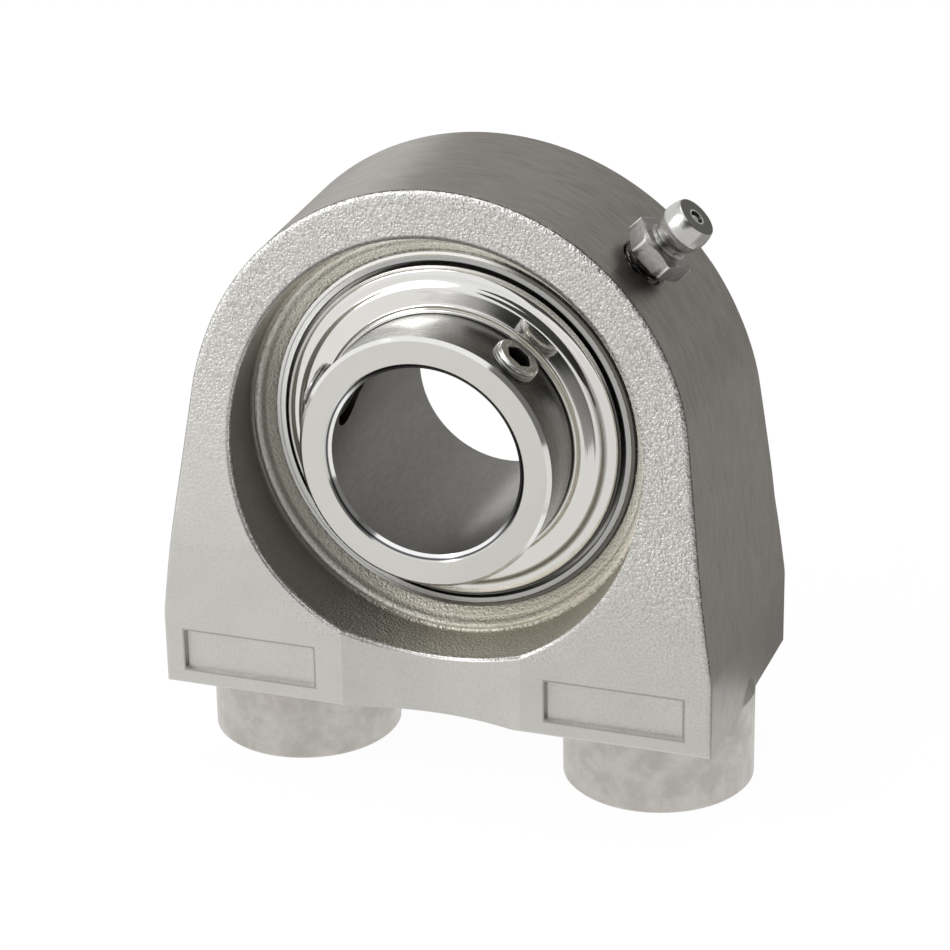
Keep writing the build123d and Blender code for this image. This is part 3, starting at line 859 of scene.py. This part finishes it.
def nipple_finish():
    """Nipple: turned satin steel, painted highlights on its corners and round its mouth, dull tip,
    painted shade in its bore, at its waist and on its shank.
    """
    finish = Finish("nipple_steel")
    height, distance = from_axis(finish, FITTING_ANGLE, FITTING_ALONG)
    lines = finish.flat_speckle(height, distance, 0.14, 2.0)
    smears = finish.speckle(0.9, 3.0, 0.6)
    turned = lines * 0.6 + smears * 0.4
    flats = (height < 39.05) * (distance > 2.8)
    corners = flats * finish.smooth(distance, 4.40, 4.55)
    neck_line = bowed_band(height, 39.12, 0.3) * (distance < 2.8)
    at_tip = height > FITTING_TIP - 0.04
    bore = distance < 0.94
    shank = height < 36.0
    colour = finish.blend(turned, (0.44, 0.435, 0.425), (0.66, 0.655, 0.645))
    flat_colour = finish.blend(smears, (0.26, 0.257, 0.25), (0.46, 0.455, 0.445))
    colour = finish.blend(flats, colour, flat_colour)
    # Painted highlight on the turned corners
    colour = finish.blend(corners, colour, (0.85, 0.845, 0.835))
    # Painted shade line at the waist
    colour = finish.blend(neck_line * 0.5, colour, (0.06, 0.06, 0.06))
    colour = finish.blend(at_tip * (distance < 2.75), colour, (0.20, 0.198, 0.19))
    # Painted highlight round the mouth
    colour = finish.blend(at_tip * bowed_band(distance, 1.05, 0.16), colour, (0.85, 0.85, 0.84))
    # Painted shade in the bore
    colour = finish.blend(bore * 0.9, colour, (0.05, 0.05, 0.045))
    # Painted shade on the shank
    colour = finish.blend(shank * 0.9, colour, (0.06, 0.055, 0.05))
    rough = 0.23 + (smears - 0.5) * 0.12 + at_tip * 0.15 - flats * 0.04
    normal = finish.bump(turned, 0.03, 0.8)
    return finish.surface(base_color=colour, metallic=1.0, roughness=rough, normal=normal)


def screw_finish(number):
    """Setscrew: dull thread with painted shade in its valleys, a polished rim painted lighter as a
    highlight, and painted shade in its socket.
    """
    finish = Finish(f"screw_steel_{number}")
    height, distance = from_axis(finish, SCREW_ANGLES[number], SCREW_ALONG)
    lines = finish.flat_speckle(height, distance, 0.12, 2.0)
    smears = finish.speckle(0.8, 3.0, 0.6)
    socket = (distance < 1.82) * (height < SCREW_TOP - 0.04)
    rim = (height > 17.68) * (distance > 1.82)
    valley = finish.smooth(distance, 3.00, 2.88) * (height < 17.70)
    colour = finish.blend(lines * 0.5 + smears * 0.5, (0.36, 0.358, 0.35), (0.54, 0.535, 0.525))
    # Painted shade in the thread's valleys
    colour = finish.blend(valley * 0.6, colour, (0.07, 0.068, 0.065))
    # Rim: polished, and painted lighter as a highlight
    colour = finish.blend(rim, colour, (0.74, 0.735, 0.72))
    # Painted shade in the socket
    colour = finish.blend(socket * 0.75, colour, (0.05, 0.048, 0.045))
    rough = 0.40 - rim * 0.14 + (smears - 0.5) * 0.1
    normal = finish.bump(lines, 0.01, 0.6)
    return finish.surface(base_color=colour, metallic=1.0, roughness=rough, normal=normal)


def rubber_finish():
    """Seal lips: near black, matt."""
    finish = Finish("seal_rubber")
    fine = finish.speckle(0.3)
    shade = finish.blend(fine, (0.012, 0.012, 0.012), (0.03, 0.029, 0.027))
    normal = finish.bump(fine, 0.01, 0.5)
    return finish.surface(base_color=shade, roughness=0.55 + fine * 0.1, normal=normal)


# Studio, in metres
def photo_camera():
    """The camera that the photograph was taken with: its place, its tilt and its lens."""
    azimuth = math.radians(19.883)
    elevation = math.radians(22.939)
    roll = math.radians(-1.062)
    distance = 426.225 * MM
    aim = Vector((-0.16 * MM, 0, 39.742 * MM))
    focus = 3211.3                   # pixels
    sensor = 36.0
    back = Vector((
        math.sin(azimuth) * math.cos(elevation),
        -math.cos(azimuth) * math.cos(elevation),
        math.sin(elevation),
    ))
    level = Vector((math.cos(azimuth), math.sin(azimuth), 0))
    up = back.cross(level)
    right = math.cos(roll) * level + math.sin(roll) * up
    top = math.cos(roll) * up - math.sin(roll) * level
    turned = Matrix((right, top, back)).transposed().to_4x4()
    lens = bpy.data.cameras.new("camera")
    lens.sensor_width = sensor
    lens.lens = focus * sensor / PHOTO_WIDTH
    lens.clip_start = 0.01
    camera = bpy.data.objects.new("camera", lens)
    bpy.context.scene.collection.objects.link(camera)
    camera.matrix_world = Matrix.Translation(aim + back * distance) @ turned
    bpy.context.scene.camera = camera


def aimed(place, away):
    """Matrix at a place, whose Z points along a direction."""
    return Matrix.Translation(place) @ away.to_track_quat("Z", "Y").to_matrix().to_4x4()


def seen_share(finish):
    """1 for what the camera, gloss or clear pieces see, 0 for what lights the object."""
    camera, glossy, clear = (
        finish.add("ShaderNodeLightPath", out=f"Is {kind} Ray")
        for kind in ("Camera", "Glossy", "Transmission")
    )
    return camera.maths("MAXIMUM", glossy).maths("MAXIMUM", clear)


def studio_light(name, width, height, place, aim, power, glossy=True):
    """Soft box that faces a point."""
    lamp = bpy.data.lights.new(name, "AREA")
    lamp.shape = "RECTANGLE"
    lamp.size = width
    lamp.size_y = height
    lamp.energy = power
    box = bpy.data.objects.new(name, lamp)
    bpy.context.scene.collection.objects.link(box)
    box.matrix_world = aimed(place, Vector(place) - Vector(aim))
    box.visible_glossy = glossy


def flat_sheet(name, width, height, place, aim, material):
    """Card or floor of the studio, which faces a point."""
    signs = ((-1, -1), (1, -1), (1, 1), (-1, 1))
    corners = [(across * width / 2, along * height / 2, 0) for across, along in signs]
    mesh = bpy.data.meshes.new(name)
    mesh.from_pydata(corners, [], [(0, 1, 2, 3)])
    mesh.materials.append(material)
    sheet = bpy.data.objects.new(name, mesh)
    bpy.context.scene.collection.objects.link(sheet)
    sheet.matrix_world = aimed(place, Vector(aim) - Vector(place))
    return sheet


def studio_floor():
    """Pale floor that stays white to the camera and keeps a faint shadow."""
    finish = Finish("studio_floor")
    matte = finish.add("ShaderNodeBsdfDiffuse", None, {"Color": (0.9, 0.9, 0.9, 1)})
    white = finish.add("ShaderNodeEmission", None, {"Color": WHITE, "Strength": 1.03})
    shown_white = seen_share(finish) * 0.93
    mixed = finish.add("ShaderNodeMixShader", None, {0: shown_white, 1: matte, 2: white})
    finish.add("ShaderNodeOutputMaterial", None, {"Surface": mixed})
    flat_sheet("floor", 6, 6, (0, 0, 0), (0, 0, 1), finish.material)


def grey_card(name, width, height, place, aim, level):
    """Card that polished metal sees as a darker patch of the room; the camera doesn't see it."""
    finish = Finish(name)
    warm_white = (1, 0.985, 0.96, 1)
    glow = finish.add("ShaderNodeEmission", None, {"Color": warm_white, "Strength": level})
    finish.add("ShaderNodeOutputMaterial", None, {"Surface": glow})
    card = flat_sheet(name, width, height, place, aim, finish.material)
    card.visible_camera = False
    card.visible_shadow = False
    card.visible_diffuse = False


def studio_world():
    """White surroundings to the camera, gloss and clear pieces, and half as strong a light."""
    world = bpy.data.worlds.new("studio")
    world.use_nodes = True
    bpy.context.scene.world = world
    nodes = world.node_tree.nodes
    links = world.node_tree.links
    nodes.clear()
    path = nodes.new("ShaderNodeLightPath")
    seen = nodes.new("ShaderNodeMath")
    seen.operation = "MAXIMUM"
    links.new(path.outputs["Is Camera Ray"], seen.inputs[0])
    links.new(path.outputs["Is Glossy Ray"], seen.inputs[1])
    both = nodes.new("ShaderNodeMath")
    both.operation = "MAXIMUM"
    links.new(seen.outputs[0], both.inputs[0])
    links.new(path.outputs["Is Transmission Ray"], both.inputs[1])
    strength = nodes.new("ShaderNodeMapRange")
    strength.inputs["To Min"].default_value = 0.5
    strength.inputs["To Max"].default_value = 1.0
    links.new(both.outputs[0], strength.inputs["Value"])
    background = nodes.new("ShaderNodeBackground")
    background.inputs["Color"].default_value = WHITE
    links.new(strength.outputs[0], background.inputs["Strength"])
    output = nodes.new("ShaderNodeOutputWorld")
    links.new(background.outputs[0], output.inputs["Surface"])


photo_camera()
bpy.context.scene.view_settings.view_transform = "Standard"
studio_world()
studio_floor()
studio_light("key", 0.4, 0.4, (-0.40, -0.45, 0.42), (0, 0, 0.05), 1.6)
studio_light("top", 0.6, 0.4, (0, 0.1, 0.8), (0, 0, 0.04), 1)
studio_light("low_fill", 0.3, 0.1, (-0.30, -0.55, 0.06), (0, 0, 0.05), 2.0, False)
grey_card("rear_floor_card", 2.4, 1.6, (0.3, 0.826, 0.0004), (0.3, 0.826, 1), 0.30)
grey_card("right_floor_card", 1.2, 0.6, (0.66, 0.0, 0.0006), (0.66, 0.0, 1), 0.45)
grey_card("front_floor_card", 1.2, 1.0, (-0.62, -0.53, 0.0008), (-0.62, -0.53, 1), 0.95)
grey_card("front_right_floor_card", 1.2, 1.0, (0.58, -0.53, 0.0008), (0.58, -0.53, 1), 0.86)
grey_card("rear_wall_card", 2.6, 1.2, (0.4, 1.2, 0.6), (0, 0, 0.1), 0.40)
grey_card("roof_card", 2.4, 1.0, (0.0, 0.7, 1.3), (0, 0, 0.1), 0.70)
grey_card("right_wall_card", 1.6, 1.2, (0.9, -0.2, 0.5), (0, 0, 0.05), 0.18)
grey_card("camera_side_card", 0.8, 0.6, (0.28, -0.78, 0.39), (0, 0, 0.05), 0.06)

bright = bright_finish("polished_steel", (0.70, 0.695, 0.68), 0.14)
pressed = bright_finish("pressed_steel", (0.55, 0.54, 0.52), 0.30)
spun = spun_finish()
finishes = {
    "housing": cast_finish(),
    "inner_ring": inner_ring_finish(),
    "outer_ring": outer_ring_finish(),
    "flinger": spun,
    "seal_lip": rubber_finish(),
    "seal_shield": pressed,
    "cage": pressed,
    "setscrew": bright,
    "grease": bright,
    "ball": bright,
}
for number in SCREW_ANGLES:
    setscrew(number, screw_finish(number))
grease_fitting(nipple_finish())
check_spring(bright)
slinger("flinger_front", -1, spun)
slinger("flinger_rear", 1, spun)

# Solids that carry over from the frame
for node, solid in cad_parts.items():
    material = next(finishes[start] for start in finishes if node.startswith(start))
    solid.data.materials.clear()
    solid.data.materials.append(material)
